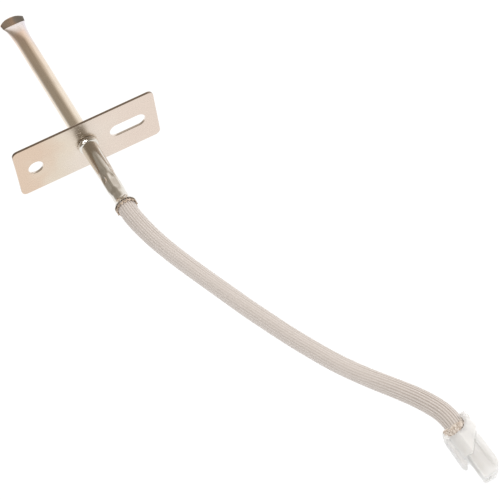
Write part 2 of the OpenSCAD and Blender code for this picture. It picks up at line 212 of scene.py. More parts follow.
# ================================================================ materials
def drawn_steel():
    """Stainless tube: lengthwise drawing lines, straw tint in front of the plate, grey behind it."""
    material, g = new_material("drawn steel")
    along = g.place()
    lines = g.noise(g.place((1, 0.012, 1)), 9000, 4, 0.6)
    streaks = g.noise(g.place((1, 0.02, 1)), 2100, 3, 0.6)
    smudge = g.noise(along, 160, 3, 0.55)
    x, y = g.node("ShaderNodeSeparateXYZ", {0: along}).outputs[:2]
    drift = g.math("ADD", y, g.spread(smudge, 0.3, 0.7, -0.0012, 0.0012))
    colour = g.ramp(
        g.math("MULTIPLY_ADD", drift, 1 / 0.106, 0.034 / 0.106),
        (0.30, (0.825, 0.80, 0.75)),
        (0.34, (0.89, 0.80, 0.68)),
        (0.62, (0.90, 0.79, 0.67)),
        (0.80, (0.88, 0.73, 0.60)),
        (0.885, (0.88, 0.69, 0.58)),
        (0.925, (0.98, 0.92, 0.92)),
    )
    tab = g.ramp(
        g.math("MULTIPLY_ADD", x, 100, g.spread(smudge, 0.3, 0.7, 0.44, 0.56)),
        (0.08, (0.50, 0.42, 0.36)),
        (0.36, (0.50, 0.40, 0.32)),
        (0.52, (0.62, 0.45, 0.34)),
        (0.66, (0.38, 0.34, 0.31)),
        (0.92, (0.28, 0.27, 0.26)),
    )
    lilac = g.math("MULTIPLY", g.spread(x, 0.001, 0.0036), g.spread(y, 0.042, 0.060, 0, 0.85))
    colour = g.mix(lilac, colour, (0.84, 0.80, 0.87))
    colour = g.mix(g.spread(y, 0.0656, 0.0659), colour, tab)
    colour = g.mix(g.spread(smudge, 0.45, 0.75, 0.0, 0.2), colour, (0.68, 0.58, 0.48))
    colour = g.mix(g.spread(lines, 0.35, 0.75, 0.0, 0.2), colour, (0.45, 0.40, 0.34))
    colour = g.mix(g.spread(streaks, 0.5, 0.68, 0.0, 0.2), colour, (0.40, 0.33, 0.24))
    rough = g.math("ADD", g.spread(lines, 0.3, 0.7, 0.11, 0.19), g.spread(smudge, 0.4, 0.7, 0, 0.06))
    rough = g.math("ADD", rough, g.spread(y, -0.0005, 0.0005, 0.0, 0.07))
    g.surface(
        Base_Color=colour, Metallic=1.0, Roughness=rough, Normal=g.bump(lines, 0.04, 0.00002)
    )
    return material


def plate_steel():
    """Rolled sheet: bright, with a faint straw tint at one end and a pink one at the other."""
    material, g = new_material("rolled steel")
    where = g.place()
    x, y, z = g.node("ShaderNodeSeparateXYZ", {0: where}).outputs
    cloud = g.noise(where, 55, 3, 0.5)
    grain = g.noise(g.place((0.02, 1, 1)), 7000, 3, 0.6)
    shift = g.math("ADD", g.spread(x, -0.029, 0.029), g.spread(cloud, 0.25, 0.75, -0.16, 0.16))
    colour = g.ramp(
        shift,
        (0.00, (0.71, 0.56, 0.44)),
        (0.22, (0.74, 0.65, 0.54)),
        (0.50, (0.76, 0.68, 0.60)),
        (0.75, (0.75, 0.65, 0.57)),
        (1.00, (0.74, 0.63, 0.55)),
    )
    colour = g.mix(g.spread(grain, 0.4, 0.8, 0.0, 0.05), colour, (0.60, 0.53, 0.46))
    rough = g.spread(grain, 0.3, 0.7, 0.25, 0.33)
    sheared = g.math("MULTIPLY", g.spread(y, -0.00004, -0.0002), g.spread(y, -0.00096, -0.0008))
    outer = g.ramp(g.math("ABSOLUTE", z), (0.006, (0.88, 0.81, 0.75)), (0.010, (0.34, 0.27, 0.22)))
    colour = g.mix(sheared, colour, outer)
    g.surface(
        Base_Color=colour, Metallic=1.0, Roughness=rough, Normal=g.bump(grain, 0.02, 0.00002)
    )
    return material


def knitted_glass(name, shade_and_fibre_colour, crest, fleck):
    """Knitted yarn: painted shade makes it darker between the ribs and in the hollows that the mesh's
    number marks; fine fibres along the yarn.
    """
    material, g = new_material(name)
    where = g.place()
    painted_shade_and_tone = g.attribute("painted_shade_and_tone")
    strand = g.attribute("strand")
    dirt = g.noise(where, 260, 4, 0.6)
    fibre = g.noise(where, 9000, 2, 0.6)
    # painted shade: points low in the stored number take the first, shaded colour; high points take the
    # yarn's own crest colour
    colour = g.ramp(painted_shade_and_tone, (0.08, shade_and_fibre_colour), (0.85, crest))
    colour = g.mix(g.spread(dirt, 0.45, 0.75, 0.0, 0.35), colour, fleck)
    colour = g.mix(g.spread(fibre, 0.35, 0.75, 0.0, 0.22), colour, shade_and_fibre_colour)
    height = g.math("ADD", g.math("MULTIPLY", strand, 0.6), g.math("MULTIPLY", fibre, 0.4))
    g.surface(
        Base_Color=colour,
        Roughness=g.spread(dirt, 0.2, 0.8, 0.62, 0.8),
        Sheen_Weight=0.25,
        Sheen_Roughness=0.5,
        Normal=g.bump(height, 0.35, 0.00006),
    )
    return material


def nylon(name, colour, depth, painted_glow):
    """Natural nylon: milky, light passes a little way into it; faint flow marks and dust. It also glows
    a little: painted light that lifts and evens its shading.
    """
    material, g = new_material(name)
    where = g.place()
    flow = g.noise(g.place((1, 0.35, 1)), 220, 3, 0.5)
    fine = g.noise(where, 3500, 2, 0.5)
    tint = g.ramp(flow, (0.3, colour), (0.7, tuple(c * 0.965 for c in colour)))
    g.surface(
        Base_Color=tint,
        Roughness=g.spread(flow, 0.3, 0.7, 0.30, 0.42),
        Subsurface_Weight=depth,
        Subsurface_Radius=(0.006, 0.006, 0.0058),
        Subsurface_Scale=1.0,
        Transmission_Weight=0.12,
        IOR=1.53,
        # painted light: a faint white glow of the nylon itself
        Emission_Color=(1, 1, 0.98, 1),
        Emission_Strength=painted_glow,
        Normal=g.bump(fine, 0.08, 0.00003),
    )
    return material


def speckled(name, low, high, scale, roughness, metallic=0.0, stretch=(1, 1, 1), depth=0.2):
    """General finish with grain: fired ceramic, powder, small metal parts, braided insulation."""
    material, g = new_material(name)
    grain = g.noise(g.place(stretch), scale, 4, 0.6)
    broad = g.noise(g.place(), 300, 2, 0.5)
    colour = g.mix(g.spread(broad, 0.3, 0.7, 0, 0.3), g.ramp(grain, (0.3, low), (0.7, high)), low)
    g.surface(
        Base_Color=colour,
        Metallic=metallic,
        Roughness=g.spread(grain, 0.3, 0.7, roughness, min(1.0, roughness + 0.15)),
        Normal=g.bump(grain, depth, 0.00004),
    )
    return material


# ================================================================ meshes
def piece(name, points, faces, material, replaces=(), body="probe", angle=40):
    """A mesh object from points in millimetres, riding on a body and standing for CAD nodes."""
    mesh = bpy.data.meshes.new(name)
    mesh.from_pydata([tuple(float(c) * MM for c in p) for p in points], [], faces)
    mesh.validate()
    made = bpy.data.objects.new(name, mesh)
    bpy.context.scene.collection.objects.link(made)
    return finish_piece(made, material, replaces, body, angle)


def finish_piece(made, material, replaces=(), body="probe", angle=40):
    """Gives a piece its material, smooth shading up to an angle, its body and its CAD nodes."""
    made.data.materials.clear()
    made.data.materials.append(material)
    made.data.shade_smooth()
    made.data.set_sharp_from_angle(angle=math.radians(angle))
    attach(made, body)
    if replaces:
        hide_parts(*replaces)
    return made


def ring_faces(rings, sides):
    """Quads between closed rings that follow each other."""
    return [
        (
            i * sides + k,
            i * sides + (k + 1) % sides,
            (i + 1) * sides + (k + 1) % sides,
            (i + 1) * sides + k,
        )
        for i in range(rings - 1)
        for k in range(sides)
    ]


def smooth(low, high, x):
    """0 below low, 1 above high, an S curve between them."""
    t = np.clip((x - low) / (high - low), 0, 1)
    return t * t * (3 - 2 * t)


def window(x, middle, half):
    """1 in the middle, falling smoothly to 0 at half a width to either side."""
    t = np.clip(np.abs(x - middle) / half, 0, 1)
    return 0.5 + 0.5 * np.cos(math.pi * t)


# ---------------------------------------------------------------- probe tube
TUBE_R = 3.175
WALL = 0.5
FLARE_WALL = 0.42
PLATE_T = 1.0
REAR_Y = -33.8
NECK_Y = -30.6
NECK_R = 2.9
MOUTH_R = 4.3
CRIMP_BORE_R = 2.25
BORE_END = 53.5
ROUND_END = 54.5
FOLD_Y = 65.9
CORNER_Y = 68.2
TIP_Y = 70.2
TAB_HALF = 0.5
TAB_W0, TAB_W1 = 4.45, 4.8
BEAD_R = 4.05
BEAD_MIDDLE, BEAD_HALF = -PLATE_T - 0.8, 1.1
SWAGE_R = 3.8
LIP_R = 0.2
TUBE_SIDES = 120
# the bead's small flat: the direction it faces, and its distance from the origin
FLAT_FACES, FLAT_AT = (-0.276, -0.429, 0.860), 4.425
HEX_FLAT = 2.93
HEX_CORNER = math.radians(108)
PUNCH = HEX_CORNER + math.radians(27)


def hex_radius(theta):
    """A hexagon with its corners rounded off by a circle."""
    turn = np.mod(theta - HEX_CORNER, math.pi / 3) - math.pi / 6
    return np.minimum(HEX_FLAT / np.cos(turn), 3.2)


def near_angle(theta, start, half):
    """Window round six angles that start at the given one."""
    turn = np.mod(theta - start + math.pi / 6, math.pi / 3) - math.pi / 6
    return window(turn, 0, half)


def bead(y):
    """The rolled bead behind the plate, and the tube swaged out flush with the plate's front."""
    behind = 1 - np.clip(np.abs(y - BEAD_MIDDLE) / BEAD_HALF, 0, 1) ** 2.2
    swage = (SWAGE_R - TUBE_R) * smooth(0.02, -0.05, y) * (y > -PLATE_T)
    return np.maximum((BEAD_R - TUBE_R) * np.sqrt(behind), swage)


def flat_spot(r, y, theta):
    """A small flat pressed into the bead's upper left."""
    across = FLAT_FACES[0] * np.cos(theta) + FLAT_FACES[2] * np.sin(theta)
    cut = (FLAT_AT - FLAT_FACES[1] * y) / np.maximum(across, 0.1)
    on_bead = y > BEAD_MIDDLE - BEAD_HALF - 0.05
    return np.where((across > 0.5) & on_bead, np.minimum(r, cut), r)


def tube_radius(y, theta):
    """Radius of the round part: bead, crimps, six-sided land, neck and flared mouth."""
    r = flat_spot(TUBE_R + bead(y), y, theta) - 0.12 * window(y, -18.5, 2.6)
    land = smooth(-27.6, -25.2, y) * (1 - smooth(-22.0, -19.8, y))
    r = r + (hex_radius(theta) - r) * land
    neck = 1 - smooth(-28.6, -25.8, y)
    r = r + (NECK_R - r) * neck
    r = r - 0.36 * window(y, -20.4, 2.2) * near_angle(theta, PUNCH, math.radians(27))
    r = r - 0.14 * window(y, -27.2, 2.2) * near_angle(theta, PUNCH, math.radians(27))
    flare = np.clip((NECK_Y - y) / (NECK_Y - REAR_Y), 0, 1)
    return r + (MOUTH_R - NECK_R) * flare ** 1.9


def section(half_w, half_h, power):
    """Superellipse: a circle at power 2, nearly a rectangle at power 8."""
    t = np.arange(TUBE_SIDES) * 2 * math.pi / TUBE_SIDES
    c, s = np.cos(t), np.sin(t)
    x = half_w * np.sign(c) * np.abs(c) ** (2 / power)
    z = half_h * np.sign(s) * np.abs(s) ** (2 / power)
    return x, z


def tip_section(y):
    """Half width, half height and squareness of the pinched tip at y."""
    s = np.clip((y - ROUND_END) / (FOLD_Y - ROUND_END), 0, 1)
    if y <= FOLD_Y:
        half_w = TUBE_R + (TAB_W0 - TUBE_R) * (0.35 * s ** 2 + 0.65 * s ** 3.4)
        half_h = TAB_HALF + (TUBE_R - TAB_HALF) * (1 - s ** 1.9)
        return half_w, half_h, 2 + 1.6 * s ** 3
    if y <= CORNER_Y:
        t = (y - FOLD_Y) / (CORNER_Y - FOLD_Y)
        return TAB_W0 + (TAB_W1 - TAB_W0) * t ** 0.8, TAB_HALF, 3.6 + 4 * min(1, 3 * t)
    bulge = TIP_Y - CORNER_Y
    radius = (TAB_W1 ** 2 + bulge ** 2) / (2 * bulge)
    drop = y - (TIP_Y - radius)
    edge = 1 - 0.28 * smooth(TIP_Y - 0.5, TIP_Y, y)
    return math.sqrt(max(radius ** 2 - drop ** 2, 0.02)), TAB_HALF * edge, 7.6


def make_tube(material):
    """One closed skin: the bore from its closed end to the mouth, the lip, then the outside."""
    theta = np.arange(TUBE_SIDES) * 2 * math.pi / TUBE_SIDES
    rings = []

    def turned(y, r):
        r = r * np.ones(TUBE_SIDES)
        rings.append(np.stack([r * np.cos(theta), np.full(TUBE_SIDES, y), r * np.sin(theta)], 1))

    turned(BORE_END, 0.02)
    for y in (BORE_END, 2.5, -3.5, -15.0):
        turned(y, TUBE_R - WALL)
    for y in (-17.6, -19.6, -29.5, NECK_Y):
        turned(y, CRIMP_BORE_R)
    for y in np.linspace(NECK_Y - 0.6, REAR_Y + LIP_R, 8):
        turned(y, np.maximum(tube_radius(y, theta) - FLARE_WALL, CRIMP_BORE_R))
    lip = tube_radius(REAR_Y, theta) - LIP_R
    for a in np.radians(np.linspace(-80, 80, 7)):
        turned(REAR_Y + LIP_R - LIP_R * math.cos(a), lip + LIP_R * math.sin(a))
    stations = np.concatenate([
        np.linspace(REAR_Y + 0.25, NECK_Y, 16),
        np.linspace(NECK_Y + 0.2, -16.2, 72),
        np.linspace(-15, -3.2, 6),
        np.linspace(-2.9, -0.1, 26),
        np.linspace(-0.05, 0.02, 6),
        np.linspace(0.4, ROUND_END, 12),
    ])
    for y in stations:
        turned(y, tube_radius(y, theta))
    pinched = np.concatenate([
        ROUND_END + (FOLD_Y - ROUND_END) * np.linspace(0.02, 1, 44),
        np.linspace(FOLD_Y + 0.06, CORNER_Y, 10),
        CORNER_Y + (TIP_Y - CORNER_Y) * np.sin(np.linspace(0.06, math.pi / 2, 16)),
    ])
    for y in pinched:
        x, z = section(*tip_section(float(y)))
        rings.append(np.stack([x, np.full(TUBE_SIDES, y), z], 1))
    points = np.concatenate(rings)
    faces = ring_faces(len(rings), TUBE_SIDES)
    faces.append(tuple(range(TUBE_SIDES)))
    last = (len(rings) - 1) * TUBE_SIDES
    faces.append(tuple(last + k for k in reversed(range(TUBE_SIDES))))
    faces = [tuple(reversed(f)) for f in faces]
    return piece("probe_sheath", points, faces, material, ["probe_tube"], angle=32)


# ---------------------------------------------------------------- plate
def arc(cx, cy, r, start, end, steps):
    """Points on a circle's arc, between two angles in degrees."""
    return [
        (cx + r * math.cos(a), cy + r * math.sin(a))
        for a in np.radians(np.linspace(start, end, steps))
    ]


def make_plate(material):
    """Stamped sheet, its edges rounded a little on both faces."""
    half_w = (PLATE_HIGH.x - PLATE_LOW.x) / 2 / MM
    half_h = (PLATE_HIGH.z - PLATE_LOW.z) / 2 / MM
    corner = 2.2
    hole_x = MOUNTS["screw_hole"]["pos_m"][0] / MM
    hole_r = MOUNTS["screw_hole"]["dims"]["r_mm"]
    slot_x = MOUNTS["slot"]["pos_m"][0] / MM
    slot_r = 2.9
    slot_reach = MOUNTS["slot"]["dims"]["slot_length_mm"] / 2 - slot_r
    outline = []
    for sx, sy, start in ((1, 1, 0), (-1, 1, 90), (-1, -1, 180), (1, -1, 270)):
        outline += arc(sx * (half_w - corner), sy * (half_h - corner), corner, start, start + 90, 12)
    loops = [
        outline,
        arc(0, 0, SWAGE_R + 0.1, 0, 360, 65)[:-1],
        arc(hole_x, 0, hole_r, 0, 360, 65)[:-1],
        arc(slot_x + slot_reach, 0, slot_r, -90, 90, 24)
        + arc(slot_x - slot_reach, 0, slot_r, 90, 270, 24),
    ]
    data = bpy.data.curves.new("plate_outline", "CURVE")
    data.dimensions = "2D"
    data.fill_mode = "BOTH"
    round_r = 0.16
    for loop in loops:
        spline = data.splines.new("POLY")
        spline.points.add(len(loop) - 1)
        for point, (x, y) in zip(spline.points, loop):
            point.co = (x * MM, y * MM, 0, 1)
        spline.use_cyclic_u = True
    data.extrude = (PLATE_T / 2 - round_r) * MM
    data.bevel_depth = round_r * MM
    data.bevel_resolution = 3
    data.offset = -round_r * MM
    curve = bpy.data.objects.new("plate_curve", data)
    bpy.context.scene.collection.objects.link(curve)
    bpy.context.view_layer.update()
    mesh = bpy.data.meshes.new_from_object(curve.evaluated_get(bpy.context.evaluated_depsgraph_get()))
    bpy.data.objects.remove(curve)
    mesh.transform(Matrix.Translation((0, -PLATE_T / 2 * MM, 0)) @ Matrix.Rotation(math.pi / 2, 4, "X"))
    weld(mesh)
    made = bpy.data.objects.new("flange_plate", mesh)
    bpy.context.scene.collection.objects.link(made)
    return finish_piece(made, material, ["mounting_plate"], angle=50)


def weld(mesh, distance=1e-6):
    """Joins points that fall together, and turns all faces outwards."""
    work = bmesh.new()
    work.from_mesh(mesh)
    bmesh.ops.remove_doubles(work, verts=work.verts, dist=distance)
    bmesh.ops.recalc_face_normals(work, faces=work.faces)
    work.to_mesh(mesh)
    work.free()


# ---------------------------------------------------------------- knitted sleeve
def dense_route(points, count):
    """Points at equal steps on a smooth curve through the route."""
    p = np.array(points, float)
    p = np.vstack([2 * p[0] - p[1], p, 2 * p[-1] - p[-2]])
    fine = []
    for i in range(1, len(p) - 2):
        t = np.linspace(0, 1, 60, endpoint=False)[:, None]
        a, b, c, d = p[i - 1], p[i], p[i + 1], p[i + 2]
        fine.append(0.5 * (
            2 * b + (c - a) * t + (2 * a - 5 * b + 4 * c - d) * t ** 2
            + (3 * b - a - 3 * c + d) * t ** 3
        ))
    fine = np.vstack(fine + [p[-2:-1]])
    steps = np.concatenate([[0], np.cumsum(np.linalg.norm(np.diff(fine, axis=0), axis=1))])
    even = np.linspace(0, steps[-1], count)
    return np.stack([np.interp(even, steps, fine[:, k]) for k in range(3)], 1), even


def soften(values, passes):
    """Averages each point with its neighbours, a number of times; both ends stay."""
    for _ in range(passes):
        values[1:-1] = (values[:-2] + 2 * values[1:-1] + values[2:]) / 4
    return values


WALES = 22
SAMPLES = 6
COURSE = 0.93
SLEEVE_R = 3.12
RIB, STITCH = 0.24, 0.07
SLEEVE_RINGS = 735
CUT_RINGS = 6


def sleeve_line():
    """The cord's middle line, and the piece's own, whose cut end runs on into the housing."""
    route, along = dense_route(ROUTE, SLEEVE_RINGS)
    route = soften(route, 120)
    along = along / MM
    more = np.arange(1, CUT_RINGS + 1)
    centre = np.vstack([route, route[-1] + (route[-1] - route[-2]) * more[:, None]])
    along = np.append(along, along[-1] + (along[-1] - along[-2]) * more)
    return route, centre, along


def knit_shape(t, total):
    """Angle, radius, painted shade and stitch of every point, from the length t along the sleeve."""
    sides = WALES * SAMPLES
    k = np.arange(sides)[None, :]
    # wales wander a little, and the whole tube twists slightly
    wander = 0.05 * np.sin(t / 11 + 1.3) + 0.035 * np.sin(t / 4.7 + 0.4)
    theta = 2 * math.pi * k / sides + 0.0026 * t + wander
    wale = np.mod(k / SAMPLES, 1) - 0.5 + 0.5 / SAMPLES
    number = np.floor(k / SAMPLES)
    rib = np.cos(math.pi * wale) ** 0.7
    # each wale is a chain of V stitches: two slanted legs, one each side of its middle
    stagger = 0.5 * np.mod(number, 2) + 0.13 * np.sin(number * 2.1)
    phase = t / COURSE + stagger + 1.15 * np.abs(wale)
    stitch = 0.5 + 0.5 * np.cos(2 * math.pi * phase)
    # the knit is stretched open near its two ends and lies closed between them
    near_tube, near_plug = 1 - smooth(8, 30, t), smooth(total - 48, total - 16, t)
    open_knit = 0.4 + 0.06 * np.sin(t / 13 + 0.8) + 0.25 * near_tube + 0.6 * near_plug
    # a deeper groove along the sleeve, like a ladder in a stocking
    ladder = np.maximum(0, np.cos(theta - 2.0 + 0.12 * np.sin(t / 19))) ** 60
    groove = np.clip((1 - rib) * (open_knit + 0.7 * ladder) * 1.15, 0, 1)
    # painted shade: low in the grooves between ribs and in the ladder, and a little lower in each
    # stitch's trough
    painted_shade_and_tone = (1 - groove) * (0.8 + 0.2 * stitch)
    uneven = 0.05 * np.sin(t / 7.3 + 2 * theta) + 0.045 * np.sin(t / 15.1 - theta + 1)
    uneven = uneven + 0.03 * np.sin(number * 3.7 + t / 3.1)
    waist = SLEEVE_R + 0.16 * smooth(total - 42, total - 12, t) + 0.10 * (1 - smooth(4, 22, t))
    radius = waist + RIB * rib * open_knit + STITCH * stitch * rib + 0.5 * uneven
    return theta, radius, painted_shade_and_tone, stitch


def turned_in_ends(points, centre):
    """Two more rings at either end, drawn inwards, so that the sleeve has a wall."""
    rings, sides = points.shape[:2]
    inner, faces = [], []
    for end, step in ((0, 4), (rings - 1, -4)):
        edge = points[end] - centre[end] / MM
        first = (rings + len(inner)) * sides
        inner += [centre[end] / MM + edge * 0.8, centre[end + step] / MM + edge * 0.74]
        for a, b in ((end * sides, first), (first, first + sides)):
            for j in range(sides):
                quad = (a + j, b + j, b + (j + 1) % sides, a + (j + 1) % sides)
                faces.append(quad if end == 0 else quad[::-1])
    return np.vstack(inner), faces


def make_sleeve(material):
    """The knitted sleeve as rings of points along its line; returns the cord's line too."""
    route, centre, along = sleeve_line()
    tangent = np.gradient(centre, axis=0)
    tangent /= np.linalg.norm(tangent, axis=1)[:, None]
    aside = np.cross(tangent, (0, 0, 1.0))
    aside /= np.linalg.norm(aside, axis=1)[:, None]
    above = np.cross(aside, tangent)
    total = along[-1]
    t = along[:, None]
    theta, radius, painted_shade_and_tone, stitch = knit_shape(t, total)
    flat_under = 1 - 0.02 * smooth(30, 50, t) * (1 - smooth(total - 25, total - 15, t))
    x = radius * np.cos(theta)
    z = radius * np.sin(theta) * flat_under
    points = (
        centre[:, None, :] / MM
        + x[..., None] * aside[:, None, :]
        + z[..., None] * above[:, None, :]
    )
    points[..., 2] = np.maximum(points[..., 2], FLOOR_Z / MM + 0.02)
    inner, end_faces = turned_in_ends(points, centre)
    faces = ring_faces(*points.shape[:2]) + end_faces
    points = np.vstack([points.reshape(-1, 3), inner])
    made = piece("glass_sleeve", points, faces, material, ["lead_sleeve"], angle=180)
    # painted shade: the turned-in rings inside the ends take the darkest shaded colour
    plain = np.zeros(len(inner))
    store(made, "painted_shade_and_tone", np.concatenate([painted_shade_and_tone.ravel(), plain]))
    store(made, "strand", np.concatenate([(stitch * np.ones_like(painted_shade_and_tone)).ravel(), plain]))
    return made, route


def store(made, name, values):
    """Keeps one number for each point, which the materials read."""
    layer = made.data.attributes.new(name, "FLOAT", "POINT")
    layer.data.foreach_set("value", np.asarray(values, np.float32))


# ---------------------------------------------------------------- yarn
def tube_along(path, radius, sides=7):
    """Points and quads of a tube round a short path, with closed ends."""
    path = np.array(path, float)
    tangent = np.gradient(path, axis=0)
    tangent /= np.linalg.norm(tangent, axis=1)[:, None] + 1e-9
    guide = np.array((0.31, 0.52, 0.79))
    aside = np.cross(tangent, guide)
    aside /= np.linalg.norm(aside, axis=1)[:, None] + 1e-9
    above = np.cross(tangent, aside)
    turn = np.arange(sides) * 2 * math.pi / sides
    thick = radius * np.ones(len(path))
    thick[0] *= 0.55
    thick[-1] *= 0.45
    rings = [
        path[i] + thick[i] * (
            np.cos(turn)[:, None] * aside[i] + np.sin(turn)[:, None] * above[i]
        )
        for i in range(len(path))
    ]
    faces = [tuple(reversed(f)) for f in ring_faces(len(path), sides)]
    faces.append(tuple(range(sides)))
    last = (len(path) - 1) * sides
    faces.append(tuple(last + k for k in reversed(range(sides))))
    return np.vstack(rings), faces


def bundle(name, strands, material, replaces, painted_shade_at):
    """Many strands as one piece; the given function paints each point's shade, and a random tone for
    each strand keeps any two from matching.
    """
    points, faces, strand_tone = [], [], []
    first = 0
    for path, radius in strands:
        made_points, made_faces = tube_along(path, radius)
        points.append(made_points)
        faces += [tuple(first + v for v in f) for f in made_faces]
        first += len(made_points)
        strand_tone += [RNG.uniform(0.25, 1.0)] * len(made_points)
    points = np.vstack(points)
    made = piece(name, points, faces, material, replaces, angle=180)
    # the stored number: painted shade times each strand's own random tone
    store(made, "painted_shade_and_tone", painted_shade_at(points) * np.array(strand_tone))
    store(made, "strand", np.zeros(len(points)))
    return made


SCALLOPS = 16
BINDING_R = 3.45


def make_hem(material):
    """Scalloped binding in the mouth: looped yarn pressed between the sleeve and the flare."""
    strands = []
    for k in range(SCALLOPS):
        base = 2 * math.pi * k / SCALLOPS
        wide = math.pi / SCALLOPS * 1.12
        reach = 1.5 + RNG.uniform(-0.2, 0.25)
        for layer in range(2):
            path = []
            for s in np.linspace(0, 1, 11):
                bow = math.sin(math.pi * s)
                a = base + wide * (2 * s - 1) * (1 - 0.25 * bow)
                r = BINDING_R + 0.58 * bow ** 0.8 - 0.12 * layer
                y = REAR_Y + 0.45 - (reach + 0.45) * bow ** 0.75 + 0.36 * layer
                path.append((r * math.cos(a), y, r * math.sin(a)))
            strands.append((path, 0.25 - 0.04 * layer))
    # fine fibres between the loops
    for _ in range(34):
        a = RNG.uniform(0, 2 * math.pi)
        path = []
        for s in np.linspace(0, 1, 6):
            r = BINDING_R + 0.35 * s + RNG.uniform(-0.05, 0.05)
            path.append((
                r * math.cos(a + 0.1 * s), REAR_Y + 0.2 - 1.3 * s, r * math.sin(a + 0.1 * s)
            ))
        strands.append((path, 0.07))

    def painted_shade_at(points):
        # painted shade: yarn at and just inside the mouth's lip is darker, loops that reach out of it
        # are lighter
        deep = np.clip((REAR_Y + 0.1 - points[:, 1]) / 1.1, 0, 1)
        return 0.15 + 0.85 * deep

    return bundle("sleeve_binding", strands, material, ["sleeve_hem"], painted_shade_at)


def in_connector(l, side, z):
    """A point in the connector's own millimetres, as a point of the frame in millimetres."""
    return np.array(CONN_FRAME @ Vector((l * MM, side * MM, z * MM))) / MM


# the connector's own frame: forwards from an origin 3.9 mm behind the housing, then to the right
# as seen from in front of the nose, then up from the surface that it rests on
AXIS_H = 4.4
SLEEVE_END = 4.7
CUT_END = SLEEVE_END + 1.2
# arcs in front of the trough and of the opening above it: centre and radius
CHANNEL = (5.5, -0.75, 4.3)
MOUTH = (5.7, -1.35, 3.95)
LIP_T = 0.8
SEAT_R = 3.5


def fray_point(l, r, turn):
    """A point of the frayed end, kept clear of the trough's floor and the mouth's wall."""
    side = min(r * math.cos(turn), 3.3)
    height = max(AXIS_H + r * math.sin(turn), 1.3)
    if side < -3.2:
        height = max(height, 4.3)
    x, y, radius = CHANNEL if height < 7.5 else MOUTH
    reach = math.sqrt(max((radius - 0.3) ** 2 - (side - y) ** 2, 0))
    return in_connector(min(l, x + reach), side, height)


def over_mouth(back, side, deep):
    """A point of the yarn that fills the mouth, at a distance back from the mouth's front wall."""
    x, y, radius = MOUTH
    wall = x + math.sqrt(max((radius - 0.25) ** 2 - (side - y) ** 2, 0))
    height = AXIS_H + math.sqrt(max(SEAT_R ** 2 - side ** 2, 0.1)) + 0.5 * float(smooth(2.2, 0.2, back))
    return in_connector(wall - back, side, max(height - deep, 4.3))


def make_fray(material):
    """Loose yarn where the sleeve was cut: loops and cut ends that turn outwards."""
    strands = []
    # loops of the last course
    loops = WALES + 4
    for k in range(loops):
        base = 2 * math.pi * (k + 0.5) / loops + RNG.uniform(-0.06, 0.06)
        wide = math.pi / WALES * RNG.uniform(0.8, 1.3)
        reach = RNG.uniform(1.2, 2.3)
        open_out = RNG.uniform(0.1, 0.6)
        path = []
        for s in np.linspace(0, 1, 11):
            bow = math.sin(math.pi * s)
            turn = base + wide * (2 * s - 1)
            path.append(fray_point(CUT_END - 0.3 + reach * bow, 3.2 + open_out * bow, turn))
        strands.append((path, RNG.uniform(0.22, 0.31)))
    # short ends that fill the mouth up to its front wall
    for _ in range(210):
        side, sway = RNG.uniform(-3.4, 2.2), RNG.uniform(-0.5, 0.5)
        back, reach = RNG.uniform(0, 1.5), RNG.uniform(0.6, 1.6)
        deep = RNG.uniform(-0.15, 0.75)
        path = [
            over_mouth(max(back + reach * (1 - s), 0.0), side + sway * s, deep + 0.2 * s * s)
            for s in np.linspace(0, 1, 6)
        ]
        strands.append((path, RNG.uniform(0.12, 0.27)))
    # ends that lie over the left cheek
    for _ in range(34):
        l, height = RNG.uniform(5.0, 7.2), RNG.uniform(4.25, 4.9)
        sway = RNG.uniform(-0.8, 0.8)
        path = [
            in_connector(max(l + sway * s, 4.9), -2.9 - 1.9 * s, height + 0.9 * (1 - s) ** 2)
            for s in np.linspace(0, 1, 6)
        ]
        strands.append((path, RNG.uniform(0.12, 0.24)))
    # ends inside the sleeve
    for _ in range(90):
        turn = RNG.uniform(0, 2 * math.pi)
        start = RNG.uniform(0.8, 3.0)
        reach = RNG.uniform(1.8, 4.2)
        drift = RNG.uniform(-0.5, 0.5)
        path = [
            fray_point(CUT_END - 0.6 + reach * s, start + 0.5 * s, turn + drift * s)
            for s in np.linspace(0, 1, 6)
        ]
        strands.append((path, RNG.uniform(0.14, 0.28)))
    # fine fibres round its edge
    for _ in range(150):
        turn = RNG.uniform(0, 2 * math.pi)
        reach = RNG.uniform(1.2, 4.0)
        open_out = RNG.uniform(-0.9, 0.7)
        drift = RNG.uniform(-0.35, 0.35)
        curl = RNG.uniform(-0.5, 0.5)
        path = [
            fray_point(
                CUT_END - 0.3 + reach * s,
                3.15 + open_out * s ** 1.5 + curl * s * (1 - s),
                turn + drift * s,
            )
            for s in np.linspace(0, 1, 7)
        ]
        strands.append((path, RNG.uniform(0.09, 0.2)))

    def painted_shade_at(points):
        # painted shade: yarn near the sleeve's middle line, inside the cut end, is darker; yarn further
        # out is lighter
        middle = np.array(in_connector(0, 0, AXIS_H))
        forward = np.array(CONN_AXIS)
        out = points - middle
        out = out - (out @ forward)[:, None] * forward
        return np.clip((np.linalg.norm(out, axis=1) - 1.4) / 1.8, 0, 1)

    return bundle("sleeve_fray", strands, material, ["sleeve_tail"], painted_shade_at)


